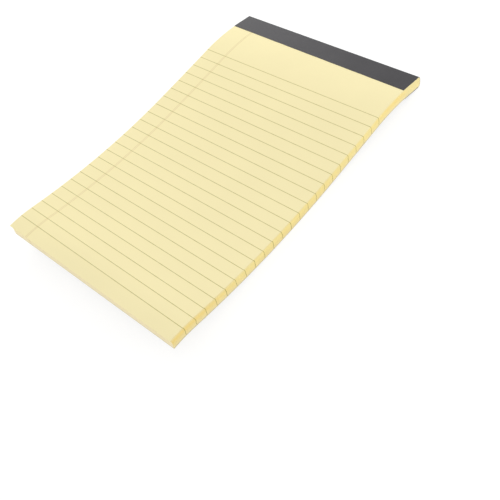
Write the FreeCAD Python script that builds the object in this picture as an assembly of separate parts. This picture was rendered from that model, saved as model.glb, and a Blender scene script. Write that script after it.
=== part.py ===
import FreeCAD, Part
import math
import os

# Junior legal pad, bent by use. Millimetres and degrees, +Y to the head, +Z up.
# The origin is on the surface that the pad lies on, under the middle of its box.

# Sheets and board
pad_width = 127.0
sheet_length = 203.2
sheet_count = 50
sheet_pitch = 0.114  # one sheet and the air that stays under it, where the block is bound
foot_swell = 0.8  # how much thicker the loose sheets lie at the foot
board_thickness = 0.8

# Bend, from the head to the foot, as it runs along the face of the top sheet
stub_length = 10.0  # flat, held by the staples
neck_length = 31.0  # domed, where the sheets are folded back to write
neck_radius = 118.0
back_length = 44.0  # hardly dished
back_radius = 3000.0
belly_length = 103.0  # dished, and low enough to touch the table
belly_radius = 430.0
foot_radius = 73.0  # domed, from the end of the belly to the foot

# Edges at the head, pressed round under the tape
head_top_radius = 0.3
head_bottom_radius = 0.7

# Binding tape
tape_thickness = 0.2
tape_front_flap = 14.8  # down the top sheet, at the middle of the pad
tape_front_skew = 0.45  # the flap grows toward the right
tape_back_flap = 15.0  # down the board

# Staples of flat wire, driven from the front and clinched inward in the board
staple_spacing = 64.0
staple_station = 7.5  # from the head
staple_crown = 12.7
staple_clinch = 5.2
staple_tip_angle = 30.0
wire_thickness = 0.45
wire_width = 0.7
wire_bend_radius = 0.2  # inside the bend
staple_clearance = 0.05  # round the wire, and between it and the tape

# Worked out from the sizes above
block_thickness = sheet_count * sheet_pitch
pad_thickness = block_thickness + board_thickness
bound_length = stub_length + neck_length
BEND = (
    (stub_length, 0.0),
    (neck_length, -1 / neck_radius),
    (back_length, 1 / back_radius),
    (belly_length, 1 / belly_radius),
    (math.inf, -1 / foot_radius),
)
BELLY = 3


def toward_foot(slope):
    """Direction of a layer in the side view, where it climbs at this slope toward the foot."""
    return FreeCAD.Vector(0, -math.cos(slope), math.sin(slope))


def outward(slope):
    """Direction square to that layer, on its upper side."""
    return FreeCAD.Vector(0, math.sin(slope), math.cos(slope))


def advance(point, slope, curvature, length):
    """Point and slope after a length of one stretch of the bend."""
    if not curvature:
        return point + toward_foot(slope) * length, slope
    centre = point + outward(slope) / curvature
    turned = slope + length * curvature
    return centre - outward(turned) / curvature, turned


def bend_stretches():
    """Each stretch as its first station, its first point, its first slope and its curvature."""
    station = 0.0
    point = FreeCAD.Vector(0, 0, 0)
    slope = 0.0
    rows = []
    for length, curvature in BEND:
        rows.append((station, point, slope, curvature))
        if length < math.inf:
            point, slope = advance(point, slope, curvature, length)
            station += length
    return rows


STRETCHES = bend_stretches()


def swollen(station, depth):
    """Depth at a station of the layer that lies at this depth in the bound head."""
    loose_run = max(station - bound_length, 0.0) / (sheet_length - bound_length)
    share_above = min(max(depth / block_thickness, 0.0), 1.0)
    return depth + foot_swell * loose_run * share_above


def place(station, depth):
    """Point in the side view at a station from the head, in the layer at this depth."""
    first, point, slope, curvature = [row for row in STRETCHES if row[0] <= max(station, 0.0)][-1]
    point, slope = advance(point, slope, curvature, station - first)
    return point - outward(slope) * swollen(station, depth)


def foot_station(depth):
    """Station where a sheet at this depth ends, as every sheet is cut to the same length."""
    left = sheet_length
    for (start, *_), (length, curvature) in zip(STRETCHES[:-1], BEND):
        left -= length * (1 + swollen(start + length / 2, depth) * curvature)
    return STRETCHES[-1][0] + left / (1 + swollen(sheet_length, depth) * BEND[-1][1])


def line(start, end):
    return Part.LineSegment(start, end).toShape()


def layer_arc(start, end, depth):
    return Part.Arc(place(start, depth), place((start + end) / 2, depth), place(end, depth)).toShape()


def layer_edges(first, last, depth):
    """Edges of the pad's side line between two stations, in one layer."""
    cuts = [first] + [row[0] for row in STRETCHES if first < row[0] < last] + [last]
    edges = []
    for start, end in zip(cuts, cuts[1:]):
        if end > stub_length:
            edges.append(layer_arc(start, end, depth))
        else:
            edges.append(line(place(start, depth), place(end, depth)))
    return edges


def head_outline(top_depth, bottom_depth, top_radius, bottom_radius, top_end, bottom_end, proud=0.0):
    """Edges down one face, round the head and along the other face, all standing proud by a distance."""
    edges = layer_edges(top_radius, top_end, top_depth - proud)
    edges += layer_edges(bottom_radius, bottom_end, bottom_depth + proud)
    edges.append(line(place(-proud, top_depth + top_radius), place(-proud, bottom_depth - bottom_radius)))
    for radius, depth, side in ((top_radius, top_depth, 1), (bottom_radius, bottom_depth, -1)):
        if radius + proud > 0:
            centre = place(radius, depth + side * radius)
            reach = radius + proud
            diagonal = (outward(0) * side - toward_foot(0)) * math.sqrt(0.5)
            over = centre + outward(0) * side * reach
            ahead = centre - toward_foot(0) * reach
            edges.append(Part.Arc(over, centre + diagonal * reach, ahead).toShape())
    return edges


def across_pad(edges):
    """Solid as wide as the pad, with these edges as its side view."""
    outline = Part.Wire(Part.__sortEdges__(edges))
    face = Part.Face(outline)
    face.translate(FreeCAD.Vector(-pad_width / 2, 0, 0))
    return face.extrude(FreeCAD.Vector(pad_width, 0, 0))


def layer_solid(top, bottom, top_radius, bottom_radius):
    """Slab of the pad between two depths, with its head edges rounded and its foot as the bend leaves it."""
    ends = foot_station(top), foot_station(bottom)
    edges = head_outline(top, bottom, top_radius, bottom_radius, *ends)
    edges.append(line(place(ends[0], top), place(ends[1], bottom)))
    return across_pad(edges)


def stub_box(across, high, low, width, centre, radius=0.0):
    """Box in the flat stub at the staples' station, between two depths, with its four long edges rounded."""
    corner = FreeCAD.Vector(centre - across / 2, -staple_station - width / 2, -low)
    box = Part.makeBox(across, width, low - high, corner)
    if radius:
        long_edges = [edge for edge in box.Edges if abs(edge.tangentAt(edge.FirstParameter).y) > 0.9]
        box = box.makeFillet(radius, long_edges)
    return box


def staple(centre):
    """Flat wire bent to a crown, two legs and two clinched tips, cut to a slant."""
    high = staple_clearance
    low = pad_thickness - staple_clearance
    outer = stub_box(staple_crown, high, low, wire_width, centre, wire_bend_radius + wire_thickness)
    inner_across = staple_crown - 2 * wire_thickness
    inner_high = high + wire_thickness
    inner_low = low - wire_thickness
    inner = stub_box(inner_across, inner_high, inner_low, wire_width, centre, wire_bend_radius)
    half_gap = staple_crown / 2 - staple_clinch
    slant = wire_thickness * math.tan(math.radians(staple_tip_angle))
    back = -staple_station - wire_width / 2
    corners = [
        FreeCAD.Vector(centre - half_gap - slant, back, -low),
        FreeCAD.Vector(centre + half_gap + slant, back, -low),
        FreeCAD.Vector(centre + half_gap, back, wire_thickness - low),
        FreeCAD.Vector(centre - half_gap, back, wire_thickness - low),
    ]
    gap = Part.Face(Part.makePolygon(corners + corners[:1])).extrude(FreeCAD.Vector(0, wire_width, 0))
    return outer.cut([inner, gap])


def staple_seat(centre):
    """Room for one staple: a groove under its crown, two leg slots and a groove for the clinched tips."""
    width = wire_width + 2 * staple_clearance
    reach = staple_crown + 2 * staple_clearance
    outer = stub_box(reach, -pad_thickness, 2 * pad_thickness, width, centre)
    wall = wire_thickness + staple_clearance
    core_across = staple_crown - 2 * wall
    core_high = staple_clearance + wall
    core = stub_box(core_across, core_high, pad_thickness - core_high, width, centre, wire_bend_radius)
    return outer.cut(core)


def binding_tape():
    """Strip from the top sheet, round the head, to the board, with its front edge a little askew."""
    skew_rise = pad_width / 2 * math.tan(math.radians(tape_front_skew))
    longest = tape_front_flap + skew_rise
    seat = (0.0, pad_thickness, head_top_radius, head_bottom_radius, longest, tape_back_flap)
    edges = head_outline(*seat) + head_outline(*seat, proud=tape_thickness)
    for station, depth, way in ((longest, 0.0, -1), (tape_back_flap, pad_thickness, 1)):
        edges.append(line(place(station, depth), place(station, depth + way * tape_thickness)))
    strip = across_pad(edges)
    trim = Part.makeBox(2 * pad_width, pad_width, block_thickness, FreeCAD.Vector(-pad_width, -pad_width, 0))
    trim.rotate(FreeCAD.Vector(0, 0, 0), FreeCAD.Vector(0, 0, 1), -tape_front_skew)
    trim.translate(place(tape_front_flap, block_thickness / 2))
    return strip.cut(trim)


def rest_slope():
    """Slope of the flat stub when the pad lies on its belly and on the bottom corner of its head."""
    belly = layer_arc(STRETCHES[BELLY][0], STRETCHES[BELLY + 1][0], pad_thickness).Curve
    head_centre = place(head_bottom_radius, pad_thickness - head_bottom_radius)
    head_reach = head_bottom_radius + tape_thickness
    span = belly.Center - head_centre
    return math.asin((belly.Radius - head_reach) / span.Length) - math.atan2(span.z, -span.y)


def laid_down(shapes):
    """Turns the pad as it lies, with the middle of its box over the origin."""
    for shape in shapes:
        shape.rotate(FreeCAD.Vector(0, 0, 0), FreeCAD.Vector(1, 0, 0), -math.degrees(rest_slope()))
    box = Part.makeCompound(shapes).optimalBoundingBox(False, False)
    for shape in shapes:
        shape.translate(FreeCAD.Vector(-box.Center.x, -box.Center.y, -box.ZMin))


staple_centres = (-staple_spacing / 2, staple_spacing / 2)
seats = [staple_seat(centre) for centre in staple_centres]
nodes = {
    "page_block": layer_solid(0.0, block_thickness, head_top_radius, 0.0).cut(seats),
    "backing_board": layer_solid(block_thickness, pad_thickness, 0.0, head_bottom_radius).cut(seats),
    "binding_tape": binding_tape(),
    "staples": Part.makeCompound([staple(centre) for centre in staple_centres]),
}
laid_down(list(nodes.values()))

os.makedirs("parts", exist_ok=True)
for name, shape in nodes.items():
    shape.exportStep("parts/" + name + ".step")
    box = shape.optimalBoundingBox(False, False)
    print(name, len(shape.Solids), "solids", round(shape.Volume, 1), "mm3, valid", shape.isValid())
    limits = (box.XMin, box.XMax, box.YMin, box.YMax, box.ZMin, box.ZMax)
    print("  x %.2f %.2f  y %.2f %.2f  z %.2f %.2f" % limits)
print("stub slope in degrees", round(math.degrees(rest_slope()), 3))
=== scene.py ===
import math
import random

import bpy
from mathutils import Matrix, Vector


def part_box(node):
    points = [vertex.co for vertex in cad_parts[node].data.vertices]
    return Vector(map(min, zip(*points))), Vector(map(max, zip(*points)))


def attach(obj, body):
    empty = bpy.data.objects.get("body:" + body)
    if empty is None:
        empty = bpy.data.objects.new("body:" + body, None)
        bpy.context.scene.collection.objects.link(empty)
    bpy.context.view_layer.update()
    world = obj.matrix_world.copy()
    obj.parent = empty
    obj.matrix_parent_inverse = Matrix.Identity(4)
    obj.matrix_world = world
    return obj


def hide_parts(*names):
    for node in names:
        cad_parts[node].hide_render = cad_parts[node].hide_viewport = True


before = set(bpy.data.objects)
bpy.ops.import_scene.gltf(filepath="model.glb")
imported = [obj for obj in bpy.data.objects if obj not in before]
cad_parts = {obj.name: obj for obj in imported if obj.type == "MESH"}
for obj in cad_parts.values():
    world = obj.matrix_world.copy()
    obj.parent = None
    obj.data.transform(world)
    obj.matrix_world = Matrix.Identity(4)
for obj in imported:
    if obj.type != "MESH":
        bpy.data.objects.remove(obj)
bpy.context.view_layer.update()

# A legal pad, bent by use. +Y points to its head and +Z up. Lengths are in millimetres, and the factor MM
# takes them to Blender's metres.
MM = 0.001

# The pad as it was cut and bound, the same sizes as its solids
PAD_WIDTH = 127.0
SHEET_LENGTH = 203.2
SHEET_COUNT = 50
SHEET_PITCH = 0.114
FOOT_SWELL = 0.8  # how much thicker the loose sheets lie at the foot
BOARD_THICKNESS = 0.8
BLOCK_THICKNESS = SHEET_COUNT * SHEET_PITCH
PAD_THICKNESS = BLOCK_THICKNESS + BOARD_THICKNESS
STUB_LENGTH = 10.0  # flat, held by the staples
NECK_LENGTH = 31.0  # domed, where the sheets are folded back to write
BOUND_LENGTH = STUB_LENGTH + NECK_LENGTH
BEND = (  # length and curvature of each stretch of the top sheet, from the head to the foot
    (STUB_LENGTH, 0.0),
    (NECK_LENGTH, -1 / 118.0),
    (44.0, 1 / 3000.0),
    (103.0, 1 / 430.0),
    (math.inf, -1 / 73.0),
)
STUB_SLOPE = math.radians(11.033)  # as the pad rests on the corner of its head and on its belly
HEAD_TOP_RADIUS = 0.3
TAPE_THICKNESS = 0.2
TAPE_FRONT_FLAP = 14.8
TAPE_FRONT_SKEW = math.radians(0.45)  # the flap grows toward the right
TAPE_BACK_FLAP = 15.0

# What use has done: the lower sheets and the board have slipped toward the head, so the head bulges
SLIP = 1.2  # of the lowest layers
SLIP_DEPTH = 1.2  # nearly two thirds of the slip build up within this depth
HEAD_BOTTOM_RADIUS = 1.8  # pressed rounder than in the solids
TUCK_REACH = 6.0  # how far from the head that round corner pushes the layers back
FOOT_EXCESS = 0.55  # how much farther out the foot lies than the length of the sheets puts it

# Unevenness of the cut edges
SHEET_TRIM = 0.035  # spread from sheet to sheet
SHEET_WAVE = 0.03
SHEET_VALLEY = 0.03  # depth of the gap between two sheets
BOARD_WAVE = 0.04
TAPE_WAVE = 0.05
TAPE_BEVEL = 0.03  # at the ends of the head

# Print on every sheet
RULE_COUNT = 23
RULE_PITCH = 7.075
FIRST_RULE = 39.57  # from the head
RULE_WIDTH = 0.38
RULE_SKEW = math.radians(0.24)  # the rules lie a little farther from the head at the left
RULE_SKEW_ENDS = (110.0, 175.0)  # from the head, and between these the skew fades out
MARGIN_ACROSS = -PAD_WIDTH / 2 + 14.86
MARGIN_SPACING = 0.9  # between the middles of its two lines
MARGIN_WIDTH = 0.4

# Cells of the skins
SHEET_STEP = 1.6  # length of a row of cells on the sheets
CORNER_RUNS = (0.04, 0.12, 0.2, 0.3)  # rows of their own where the top edge of the head is round
BOARD_STEP = 2.0
ACROSS_CELLS = 32
TAPE_ACROSS_CELLS = 96
TAPE_DEPTH_CELLS = 2
FLAP_CELLS = 16
CORNER_CELLS = 6
SPINE_CELLS = 10
RING = ((0, 0), (1, 0), (1, 1), (0, 1))  # corners of a cell's face, as steps in its row and column
CREASE_ANGLE = math.radians(50)  # faces that meet at more than this angle are shaded sharp
MAP_STRIPS = (  # left side and width of the strip that each side of a skin takes in the map
    (0.00, 0.45),
    (0.46, 0.30),
    (0.77, 0.05),
    (0.83, 0.05),
    (0.89, 0.05),
    (0.95, 0.05),
)

# Camera, fitted to the corners of the sheet and to its ruled lines
CAMERA_PLACE = Vector((242.28, -156.0, 293.3)) * MM
CAMERA_RIGHT = Vector((0.74171, 0.63342, -0.22055))
CAMERA_FORWARD = Vector((-0.5134, 0.32457, -0.7944))
FOCAL_PIXELS = 727.2
IMAGE_PIXELS = 500
SENSOR_WIDTH = 36.0
CLIP_START = 10.0

# Light and floor. Of two levels, the first is for rays that light the pad and the second for those that
# show the background itself.
WORLD_LEVELS = (0.72, 1.0)
FLOOR_COLOURS = (0.8, 0.3)
FLOOR_GLOWS = (0.0, 0.79)
FLOOR_REACH = 2.0  # in metres
LAMPS = (  # name, place and size in metres, and power in watts
    ("window", Vector((-0.60, 0.52, 0.40)), 0.5, 3.4),
    ("right_card", Vector((0.50, 0.30, 0.12)), 0.25, 0.79),
    ("front_card", Vector((-0.10, -0.85, 0.15)), 0.25, 1.05),
)


def srgb(red, green, blue):
    """Linear colour, with alpha, of an 8-bit display colour."""
    def linear(level):
        level /= 255
        return level / 12.92 if level <= 0.04045 else ((level + 0.055) / 1.055) ** 2.4
    return linear(red), linear(green), linear(blue), 1.0


WHITE = srgb(255, 255, 255)
SHEET_FACE = srgb(250, 238, 187)
FOOT_HIGH = srgb(255, 244, 196)
FOOT_LOW = srgb(252, 238, 202)
FLANK_TOP = srgb(251, 238, 186)
FLANK_MIDDLE = srgb(255, 238, 167)
FLANK_ENDS = srgb(255, 230, 150)
FLANK_LOW = srgb(252, 237, 180)
FLANK_GLUED = srgb(244, 231, 174)
MARGIN_INK = srgb(231, 213, 161)
RULE_INK = srgb(189, 179, 112)
CARD_DARK = srgb(222, 210, 172)
CARD_LIGHT = srgb(236, 226, 190)
CARD_SPECK = srgb(186, 172, 136)
TAPE_DARK = srgb(47, 45, 48)
TAPE_LIGHT = srgb(53, 51, 54)
WIRE_DARK = srgb(190, 190, 194)
WIRE_LIGHT = srgb(214, 214, 218)


def along(slope):
    """Direction toward the foot in the side view, as (y, z)."""
    return Vector((-math.cos(slope), math.sin(slope)))


def outward(slope):
    """Direction square to that, on the upper side."""
    return Vector((math.sin(slope), math.cos(slope)))


def advance(point, slope, curvature, length):
    """Point and slope after a length of one stretch of the bend."""
    if not curvature:
        return point + along(slope) * length, slope
    turned = slope + length * curvature
    return point + (outward(slope) - outward(turned)) / curvature, turned


def bend_stretches():
    """First station, first point, first slope and curvature of each stretch of the bend."""
    station, point, slope, rows = 0.0, Vector((0.0, 0.0)), STUB_SLOPE, []
    for length, curvature in BEND:
        rows.append((station, point, slope, curvature))
        if length < math.inf:
            point, slope = advance(point, slope, curvature, length)
            station += length
    return rows


STRETCHES = bend_stretches()


def swollen(station, depth):
    """Depth at a station of the layer that lies at this depth in the bound head."""
    loose_run = max(station - BOUND_LENGTH, 0.0) / (SHEET_LENGTH - BOUND_LENGTH)
    share_above = min(max(depth / BLOCK_THICKNESS, 0.0), 1.0)
    return depth + FOOT_SWELL * loose_run * share_above


def side_point(station, depth):
    """Point (y, z) at a station and in the layer at this depth, before the pad is set in its place."""
    first, point, slope, curvature = [row for row in STRETCHES if row[0] <= max(station, 0.0)][-1]
    point, slope = advance(point, slope, curvature, station - first)
    return point - outward(slope) * swollen(station, depth)


def station_at(run, depth):
    """Station that a length of paper reaches from the head, in the layer at this depth."""
    for (start, _, _, curvature), (length, _) in zip(STRETCHES, BEND):
        middle = start + length / 2 if length < math.inf else SHEET_LENGTH
        stretch = 1 + swollen(middle, depth) * curvature
        if run <= length * stretch:
            return start + run / stretch
        run -= length * stretch


def pad_offset():
    """Moves the bend to its place in the frame, by the foot of the sheets and by their highest point."""
    low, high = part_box("page_block")
    feet = [side_point(station_at(SHEET_LENGTH, depth), depth) for depth in (0.0, BLOCK_THICKNESS)]
    return Vector((low.y / MM - min(foot.x for foot in feet), high.z / MM - max(foot.y for foot in feet)))


OFFSET = pad_offset()


def slip(depth):
    """How far the layer at this depth lies nearer to the head than its own length puts it."""
    return SLIP * (1 - math.exp(-max(depth, 0.0) / SLIP_DEPTH))


def tuck(run, depth):
    """How far the round bottom corner of the head pushes the layer at this depth back, at this run."""
    below = min(max(depth - (PAD_THICKNESS - HEAD_BOTTOM_RADIUS), 0.0), HEAD_BOTTOM_RADIUS)
    back = HEAD_BOTTOM_RADIUS - math.sqrt(HEAD_BOTTOM_RADIUS ** 2 - below ** 2)
    return back * max(1 - run / TUCK_REACH, 0.0)


def top_cut(run):
    """How far the round top edge of the head has taken the face of the top sheet down at this run."""
    if run >= HEAD_TOP_RADIUS:
        return 0.0
    return HEAD_TOP_RADIUS - math.sqrt(HEAD_TOP_RADIUS * HEAD_TOP_RADIUS - (HEAD_TOP_RADIUS - run) ** 2)


def place(across, station, depth):
    """Point in the frame, in metres."""
    y, z = side_point(station - slip(depth), depth) + OFFSET
    return Vector((across, y, z)) * MM


def add_object(name, data):
    """Object with this mesh, light or camera, in the scene."""
    made = bpy.data.objects.new(name, data)
    bpy.context.scene.collection.objects.link(made)
    return made


def add_mesh(name, points, faces):
    """Object with a new mesh, in the scene."""
    mesh = bpy.data.meshes.new(name)
    mesh.from_pydata(points, [], faces)
    return add_object(name, mesh)


def lattice_sides(cells):
    """The six sides as rows, columns and a function from (row, column) to a lattice key, facing outward."""
    wide, long, deep = cells
    return (
        (long, wide, lambda row, column: (column, row, 0)),
        (long, wide, lambda row, column: (wide - column, row, deep)),
        (long, deep, lambda row, column: (0, row, deep - column)),
        (long, deep, lambda row, column: (wide, row, column)),
        (wide, deep, lambda row, column: (wide - row, 0, deep - column)),
        (wide, deep, lambda row, column: (row, long, deep - column)),
    )


def lattice_shell(name, cells, locate):
    """Closed skin of a lattice, where locate(i, j, k) gives a point and its spot (across, run, depth)."""
    numbers, points, spots, faces, maps = {}, [], [], [], []
    for (rows, columns, key_at), (left, width) in zip(lattice_sides(cells), MAP_STRIPS):
        for row in range(rows):
            for column in range(columns):
                corners = [(row + r, column + c) for r, c in RING]
                keys = [key_at(r, c) for r, c in corners]
                for key in keys:
                    if key not in numbers:
                        numbers[key] = len(points)
                        point, spot = locate(*key)
                        points.append(point)
                        spots.append(spot)
                faces.append([numbers[key] for key in keys])
                maps += [(left + width * (c / columns), r / rows) for r, c in corners]
    piece = add_mesh(name, points, faces)
    mesh = piece.data
    mesh.polygons.foreach_set("use_smooth", [True] * len(faces))
    attribute = mesh.attributes.new("place", "FLOAT_VECTOR", "POINT")
    attribute.data.foreach_set("vector", [value for spot in spots for value in spot])
    layer = mesh.uv_layers.new(name="OFBake")
    layer.uv.foreach_set("vector", [value for pair in maps for value in pair])
    mesh.update()
    mesh.set_sharp_from_angle(angle=CREASE_ANGLE)
    return piece


def graded(first, last, step, fine=()):
    """Stations from first to last at about this step, with these finer ones added."""
    count = max(1, round((last - first) / step))
    even = [first + (last - first) * n / count for n in range(count + 1)]
    return sorted({round(value, 4) for value in even + [v for v in fine if first < v < last]})


def wave(seed, length, values):
    """Smooth seeded unevenness between -1 and 1 at each of these positions, from four sines."""
    draw = random.Random(seed)
    sines = []
    for _ in range(4):
        sines.append((draw.uniform(0.5, 1.6), draw.uniform(0, math.tau), draw.uniform(0.4, 1)))
    total = sum(weight for _, _, weight in sines)

    def height(value):
        turn = math.tau * value / length
        return sum(weight * math.sin(turn * rate + phase) for rate, phase, weight in sines) / total

    return [height(value) for value in values]


def paper_block():
    """Fifty sheets as one skin, where every sheet's edge is a ridge a little in or out of line."""
    runs = graded(0.0, SHEET_LENGTH, SHEET_STEP, CORNER_RUNS)
    depth_cells = 2 * SHEET_COUNT
    draw = random.Random(7)
    trims = {}
    for side in ("left", "right", "foot"):
        trims[side] = [draw.gauss(0, SHEET_TRIM) for _ in range(SHEET_COUNT)]
    waves = {side: wave(seed, SHEET_LENGTH, runs) for seed, side in ((11, "left"), (12, "right"))}

    def ridge(side, k, height):
        """How far a sheet's edge stands out, or the gap between two sheets lies in."""
        if k % 2 == 0 and 0 < k < depth_cells:
            return -SHEET_VALLEY
        sheet = min(k // 2, SHEET_COUNT - 1)
        return trims[side][sheet] + SHEET_WAVE * height

    def locate(i, j, k):
        run = runs[j]
        share = k / depth_cells
        depth = BLOCK_THICKNESS * share
        across = PAD_WIDTH * (i / ACROSS_CELLS - 0.5)
        spot = (across, run, depth)
        if i == 0:
            across -= ridge("left", k, waves["left"][j])
        if i == ACROSS_CELLS:
            across += ridge("right", k, waves["right"][j])
        station = station_at(run, depth) + tuck(run, depth)
        if j == len(runs) - 1:
            station += FOOT_EXCESS + ridge("foot", k, 0.0)
        return place(across, station, depth + top_cut(run) * (1 - share)), spot

    piece = lattice_shell("paper_block", (ACROSS_CELLS, len(runs) - 1, depth_cells), locate)
    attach(piece, "root")
    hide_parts("page_block")
    piece.data.materials.append(paper_material())


def card_board():
    """Stiff board, with the burr of its cut pressed round along the sides and the foot."""
    runs = graded(0.0, SHEET_LENGTH, BOARD_STEP)
    levels = (0.0, 0.1, 0.35, 0.65, 0.9, 1.0)  # shares of the thickness, from the face to the back
    burr = (0.12, 0.03, 0.0, 0.0, 0.04, 0.16)  # how far in the cut edge lies at each level
    foot_waves = wave(31, PAD_WIDTH, [PAD_WIDTH * i / ACROSS_CELLS for i in range(ACROSS_CELLS + 1)])
    side_waves = {0: wave(32, SHEET_LENGTH, runs), ACROSS_CELLS: wave(33, SHEET_LENGTH, runs)}

    def locate(i, j, k):
        run = runs[j]
        across = PAD_WIDTH * (i / ACROSS_CELLS - 0.5)
        depth = BLOCK_THICKNESS + BOARD_THICKNESS * levels[k]
        spot = (across, run, depth)
        if i in side_waves:
            across -= math.copysign(burr[k] + BOARD_WAVE * side_waves[i][j], across)
        station = station_at(run, depth) + tuck(run, depth)
        if j == len(runs) - 1:
            station += FOOT_EXCESS - burr[k] - BOARD_WAVE * foot_waves[i]
        return place(across, station, depth), spot

    piece = lattice_shell("card_board", (ACROSS_CELLS, len(runs) - 1, len(levels) - 1), locate)
    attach(piece, "root")
    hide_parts("backing_board")
    piece.data.materials.append(board_material())


def tape_path(front):
    """Station, depth and outward way of each point, from the back edge round the head to the front edge."""
    high = HEAD_TOP_RADIUS
    low = PAD_THICKNESS - HEAD_BOTTOM_RADIUS
    angles = [math.pi / 2 * n / CORNER_CELLS for n in range(CORNER_CELLS + 1)]
    rows = []
    for n in range(FLAP_CELLS):
        rows.append((front + (HEAD_TOP_RADIUS - front) * n / FLAP_CELLS, 0.0, 0.0, -1.0))
    for angle in angles:
        over, ahead = math.cos(angle), math.sin(angle)
        rows.append((HEAD_TOP_RADIUS * (1 - ahead), high - HEAD_TOP_RADIUS * over, -ahead, -over))
    for n in range(1, SPINE_CELLS):
        rows.append((0.0, high + (low - high) * n / SPINE_CELLS, -1.0, 0.0))
    for angle in angles:
        over, ahead = math.sin(angle), math.cos(angle)
        rows.append((HEAD_BOTTOM_RADIUS * (1 - ahead), low + HEAD_BOTTOM_RADIUS * over, -ahead, over))
    for n in range(1, FLAP_CELLS + 1):
        station = HEAD_BOTTOM_RADIUS + (TAPE_BACK_FLAP - HEAD_BOTTOM_RADIUS) * n / FLAP_CELLS
        rows.append((station, PAD_THICKNESS, 0.0, 1.0))
    return rows[::-1]


def head_tape():
    """Strip of binding paper, with the edges of its flaps a little uneven and pressed down."""
    acrosses = [PAD_WIDTH * (i / TAPE_ACROSS_CELLS - 0.5) for i in range(TAPE_ACROSS_CELLS + 1)]
    ragged = wave(51, PAD_WIDTH / 6, acrosses)
    end_shares = (0.01, 0.55, 1.0)  # how far out of the bevel each level ends, from the face to the glue
    flap_edge_share = 0.7  # of the thickness, where the flaps end
    paths = []
    for across, uneven in zip(acrosses, ragged):
        paths.append(tape_path(TAPE_FRONT_FLAP + across * math.tan(TAPE_FRONT_SKEW) + TAPE_WAVE * uneven))
    last = len(paths[0]) - 1

    def locate(i, j, k):
        station, depth, out_station, out_depth = paths[i][j]
        rise = TAPE_THICKNESS * (1.0 - k / TAPE_DEPTH_CELLS)
        if j in (0, last):
            rise *= flap_edge_share
        across = acrosses[i]
        if i in (0, TAPE_ACROSS_CELLS):
            across -= math.copysign(TAPE_BEVEL * (1 - end_shares[k]), across)
        depth += rise * out_depth
        return place(across, station + rise * out_station, depth), (across, station, depth)

    piece = lattice_shell("head_tape", (TAPE_ACROSS_CELLS, last, TAPE_DEPTH_CELLS), locate)
    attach(piece, "root")
    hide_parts("binding_tape")
    piece.data.materials.append(tape_material())


class Nodes:
    """A node tree, with a short call for each kind of node that it is made of."""

    def __init__(self, tree):
        self.tree = tree

    def feed(self, socket, value):
        """Links a node's output to a socket, or sets the socket to a constant."""
        if isinstance(value, bpy.types.NodeSocket):
            self.tree.links.new(value, socket)
        else:
            socket.default_value = value

    def node(self, kind, inputs=(), **settings):
        """New node with these settings, and with its inputs fed by name or number."""
        made = self.tree.nodes.new(kind)
        for key, value in settings.items():
            setattr(made, key, value)
        for key, value in dict(inputs).items():
            self.feed(made.inputs[key], value)
        return made

    def math(self, operation, *values):
        return self.node("ShaderNodeMath", enumerate(values), operation=operation).outputs[0]

    def plus(self, first, second):
        return self.math("ADD", first, second)

    def minus(self, first, second):
        return self.math("SUBTRACT", first, second)

    def times(self, first, second):
        return self.math("MULTIPLY", first, second)

    def size(self, value):
        return self.math("ABSOLUTE", value)

    def ramp(self, value, low, high, at_low=0.0, at_high=1.0, kind="LINEAR"):
        """Takes a value from one range to another, and keeps it within the second."""
        inputs = {"Value": value, "From Min": low, "From Max": high, "To Min": at_low, "To Max": at_high}
        return self.node("ShaderNodeMapRange", inputs, interpolation_type=kind).outputs["Result"]

    def noise(self, vector, scale, detail=2.0, roughness=0.5):
        inputs = {"Vector": vector, "Scale": scale, "Detail": detail, "Roughness": roughness}
        return self.node("ShaderNodeTexNoise", inputs).outputs["Fac"]

    def vector(self, x, y, z):
        return self.node("ShaderNodeCombineXYZ", {0: x, 1: y, 2: z}).outputs[0]

    def blend(self, factor, first, second):
        """Colour between two, which a mix node takes at its inputs 6 and 7."""
        return self.node("ShaderNodeMix", {0: factor, 6: first, 7: second}, data_type="RGBA").outputs[2]

    def scaled(self, colour, factor):
        return self.node("ShaderNodeVectorMath", {0: colour, "Scale": factor}, operation="SCALE").outputs[0]


class Shader(Nodes):
    """A material's nodes, round its principled surface."""

    def __init__(self, name):
        self.material = bpy.data.materials.new(name)
        self.material.use_nodes = True
        super().__init__(self.material.node_tree)
        self.surface = self.tree.nodes["Principled BSDF"]

    def place(self):
        """Spot on the sheet as a vector, and its across, run and depth in millimetres, from the mesh."""
        spot = self.node("ShaderNodeAttribute", attribute_name="place").outputs["Vector"]
        parts = self.node("ShaderNodeSeparateXYZ", {0: spot}).outputs
        return spot, parts[0], parts[1], parts[2]

    def object_place(self):
        """Spot in the frame, in metres."""
        return self.node("ShaderNodeTexCoord").outputs["Object"]

    def bump(self, height, distance):
        made = self.node("ShaderNodeBump", {"Height": height, "Distance": distance, "Strength": 1.0})
        self.feed(self.surface.inputs["Normal"], made.outputs[0])

    def finish(self, colour, roughness, specular):
        """Sets the surface and gives the material."""
        self.feed(self.surface.inputs["Base Color"], colour)
        self.feed(self.surface.inputs["Roughness"], roughness)
        self.feed(self.surface.inputs["Specular IOR Level"], specular)
        return self.material


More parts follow.
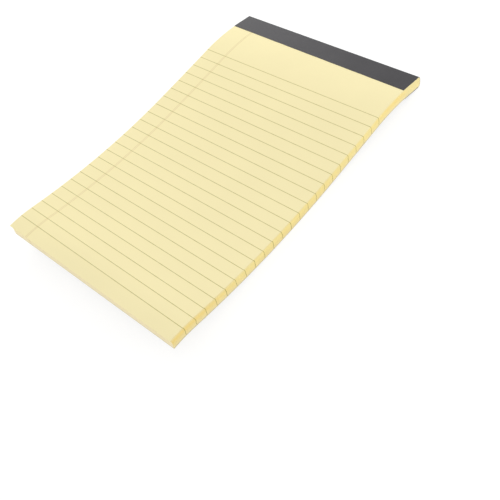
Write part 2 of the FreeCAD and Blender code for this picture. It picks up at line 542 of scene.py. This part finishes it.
def paper_material():
    """Uncoated yellow paper with its print, where a depth of more than nothing is a cut edge."""
    shader = Shader("ruled_yellow_paper")
    spot, across, run, depth = shader.place()
    cloud = shader.ramp(shader.noise(spot, 0.028, 3.0), 0.3, 0.7, 0.985, 1.01)
    fibre = shader.noise(spot, 2.6, 4.0, 0.65)
    grain = shader.ramp(fibre, 0.25, 0.75, 0.975, 1.02)
    round_edge = shader.times(shader.plus(across, run), 0.012)
    layers = shader.noise(shader.vector(round_edge, shader.times(depth, 6.5), 0.0), 1.0, 3.0)
    cut = shader.ramp(depth, 0.0, 0.06)
    streak = shader.blend(cut, WHITE, shader.ramp(layers, 0.3, 0.7, 0.95, 1.03))
    flank = shader.math("GREATER_THAN", shader.size(across), PAD_WIDTH / 2 - 0.1)
    colour = shader.blend(cut, SHEET_FACE, foot_colour(shader, depth))
    colour = shader.blend(shader.times(cut, flank), colour, flank_colour(shader, run, depth))
    for factor in (cloud, grain, streak):
        colour = shader.scaled(colour, factor)
    rules, margin = printed(shader, across, run, depth)
    colour = shader.blend(margin, colour, MARGIN_INK)
    colour = shader.blend(rules, colour, RULE_INK)
    shader.bump(fibre, 0.02 * MM)
    return shader.finish(colour, shader.ramp(fibre, 0.2, 0.8, 0.82, 0.95), 0.25)


def foot_colour(shader, depth):
    """Cut edges at the foot."""
    return shader.blend(shader.ramp(depth, 0.0, BLOCK_THICKNESS), FOOT_HIGH, FOOT_LOW)


def flank_colour(shader, run, depth):
    """Cut edges along the sides: warm high in the block, paler near the board and along the bound head."""
    from_middle = shader.size(shader.minus(run, SHEET_LENGTH / 2))
    warm = shader.blend(shader.ramp(from_middle, 50.0, 85.0), FLANK_MIDDLE, FLANK_ENDS)
    colour = shader.blend(shader.ramp(depth, 0.0, 1.4), FLANK_TOP, warm)
    colour = shader.blend(shader.ramp(depth, 2.6, BLOCK_THICKNESS), colour, FLANK_LOW)
    return shader.blend(shader.ramp(run, 12.0, 22.0, 0.8, 0.0), colour, FLANK_GLUED)


def line_ink(shader, distance, width, soft=0.06):
    """1 inside a printed line, falling to 0 past its edge."""
    return shader.ramp(distance, width / 2 - soft, width / 2 + soft, 1.0, 0.0, "SMOOTHSTEP")


def printed(shader, across, run, depth):
    """Ink of the rules and of the margin on a spot, where each sheet's print is a little out of line."""
    stray_spot = shader.vector(shader.times(run, 0.09), shader.times(depth, 0.9), across)
    stray = shader.minus(shader.noise(stray_spot, 1.0, 2.0), 0.5)
    shift = shader.times(stray, shader.ramp(depth, 0.0, 0.4, 0.0, 0.8))
    skew = shader.ramp(run, *RULE_SKEW_ENDS, math.tan(RULE_SKEW), 0.0)
    askew = shader.plus(run, shader.times(shader.minus(across, PAD_WIDTH / 2), skew))
    turns = shader.math("DIVIDE", shader.minus(shader.plus(askew, shift), FIRST_RULE), RULE_PITCH)
    middle = (RULE_COUNT - 1) / 2
    ruled = shader.math("COMPARE", turns, middle, middle + 0.5)
    from_rule = shader.times(shader.size(shader.minus(turns, shader.math("ROUND", turns))), RULE_PITCH)
    rule = shader.times(line_ink(shader, from_rule, RULE_WIDTH), ruled)
    from_margin = shader.size(shader.minus(across, MARGIN_ACROSS))
    margin = line_ink(shader, shader.size(shader.minus(from_margin, MARGIN_SPACING / 2)), MARGIN_WIDTH)
    uneven = shader.ramp(shader.noise(shader.vector(across, run, depth), 0.35, 3.0), 0.3, 0.7, 0.72, 1.0)
    return shader.times(rule, uneven), shader.times(margin, uneven)


def board_material():
    """Light tan card, speckled, with its plies showing at the cut edges."""
    shader = Shader("light_tan_card")
    spot, across, run, depth = shader.place()
    flakes = shader.noise(spot, 0.9, 5.0, 0.7)
    specks = shader.ramp(shader.noise(spot, 3.2, 2.0), 0.62, 0.72, 0.0, 0.5)
    round_edge = shader.times(shader.plus(across, run), 0.05)
    plies = shader.noise(shader.vector(round_edge, shader.times(depth, 7.0), 0.0), 1.0, 2.0)
    colour = shader.blend(shader.ramp(flakes, 0.3, 0.7), CARD_DARK, CARD_LIGHT)
    colour = shader.blend(specks, colour, CARD_SPECK)
    colour = shader.scaled(colour, shader.ramp(plies, 0.3, 0.7, 0.93, 1.03))
    shader.bump(flakes, 0.05 * MM)
    return shader.finish(colour, shader.ramp(flakes, 0.3, 0.7, 0.8, 0.93), 0.25)


def tape_material():
    """Charcoal paper, finely embossed."""
    shader = Shader("charcoal_binding_paper")
    spot = shader.object_place()
    emboss = shader.noise(spot, 1600.0, 3.0, 0.6)
    cloud = shader.noise(spot, 60.0, 3.0)
    colour = shader.blend(shader.ramp(cloud, 0.3, 0.7), TAPE_DARK, TAPE_LIGHT)
    colour = shader.scaled(colour, shader.ramp(emboss, 0.3, 0.7, 0.92, 1.08))
    shader.bump(emboss, 0.03 * MM)
    return shader.finish(colour, shader.ramp(emboss, 0.2, 0.8, 0.5, 0.68), 0.35)


def wire_material():
    """Bright steel, finely scratched along the crown of the staple."""
    shader = Shader("bright_steel_wire")
    inputs = {"Vector": shader.object_place(), "Scale": (300.0, 9000.0, 9000.0)}
    drawn = shader.node("ShaderNodeMapping", inputs).outputs[0]
    scratches = shader.noise(drawn, 1.0, 3.0)
    colour = shader.blend(shader.ramp(scratches, 0.3, 0.7), WIRE_DARK, WIRE_LIGHT)
    shader.feed(shader.surface.inputs["Metallic"], 1.0)
    shader.bump(scratches, 0.004 * MM)
    return shader.finish(colour, shader.ramp(scratches, 0.3, 0.7, 0.25, 0.42), 0.5)


def dress_staples():
    """Gives the solid staples their material."""
    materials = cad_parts["staples"].data.materials
    materials.clear()
    materials.append(wire_material())


def shown_level(nodes, levels):
    """The second level for the rays that show the background, from the camera or in gloss and glass."""
    path = nodes.node("ShaderNodeLightPath").outputs
    shown = path["Is Camera Ray"]
    for name in ("Is Glossy Ray", "Is Transmission Ray"):
        shown = nodes.math("MAXIMUM", shown, path[name])
    return nodes.ramp(shown, 0.0, 1.0, *levels)


def floor():
    """Pale floor that shows white, apart from the pad's shadow."""
    corners = [(FLOOR_REACH * x, FLOOR_REACH * y, 0) for x, y in ((-1, -1), (1, -1), (1, 1), (-1, 1))]
    piece = add_mesh("floor", corners, [(0, 1, 2, 3)])
    material = bpy.data.materials.new("white_floor")
    material.use_nodes = True
    nodes = Nodes(material.node_tree)
    nodes.tree.nodes.clear()
    diffuse = nodes.node("ShaderNodeBsdfDiffuse", {"Color": shown_level(nodes, FLOOR_COLOURS)})
    glow = nodes.node("ShaderNodeEmission", {"Strength": shown_level(nodes, FLOOR_GLOWS)})
    both = nodes.node("ShaderNodeAddShader", {0: diffuse.outputs[0], 1: glow.outputs[0]})
    nodes.node("ShaderNodeOutputMaterial", {"Surface": both.outputs[0]})
    piece.data.materials.append(material)


def light():
    """Even white world, and three soft lamps that face the pad."""
    world = bpy.data.worlds.new("studio")
    bpy.context.scene.world = world
    world.use_nodes = True
    nodes = Nodes(world.node_tree)
    background = nodes.tree.nodes["Background"]
    nodes.feed(background.inputs["Color"], WHITE)
    nodes.feed(background.inputs["Strength"], shown_level(nodes, WORLD_LEVELS))
    for name, spot, size, power in LAMPS:
        data = bpy.data.lights.new(name, "AREA")
        data.shape = "SQUARE"
        data.size = size
        data.energy = power
        lamp = add_object(name, data)
        lamp.location = spot
        lamp.rotation_euler = (-spot).to_track_quat("-Z", "Y").to_euler()


def camera():
    """The photo's camera."""
    data = bpy.data.cameras.new("camera")
    data.sensor_width = SENSOR_WIDTH
    data.lens = FOCAL_PIXELS / IMAGE_PIXELS * SENSOR_WIDTH
    data.clip_start = CLIP_START * MM
    piece = add_object("camera", data)
    forward = CAMERA_FORWARD.normalized()
    right = (CAMERA_RIGHT - forward * CAMERA_RIGHT.dot(forward)).normalized()
    turned = Matrix((right, right.cross(forward), -forward)).transposed().to_4x4()
    piece.matrix_world = Matrix.Translation(CAMERA_PLACE) @ turned
    bpy.context.scene.camera = piece


camera()
light()
floor()
paper_block()
card_board()
head_tape()
dress_staples()
bpy.context.scene.view_settings.view_transform = "Standard"
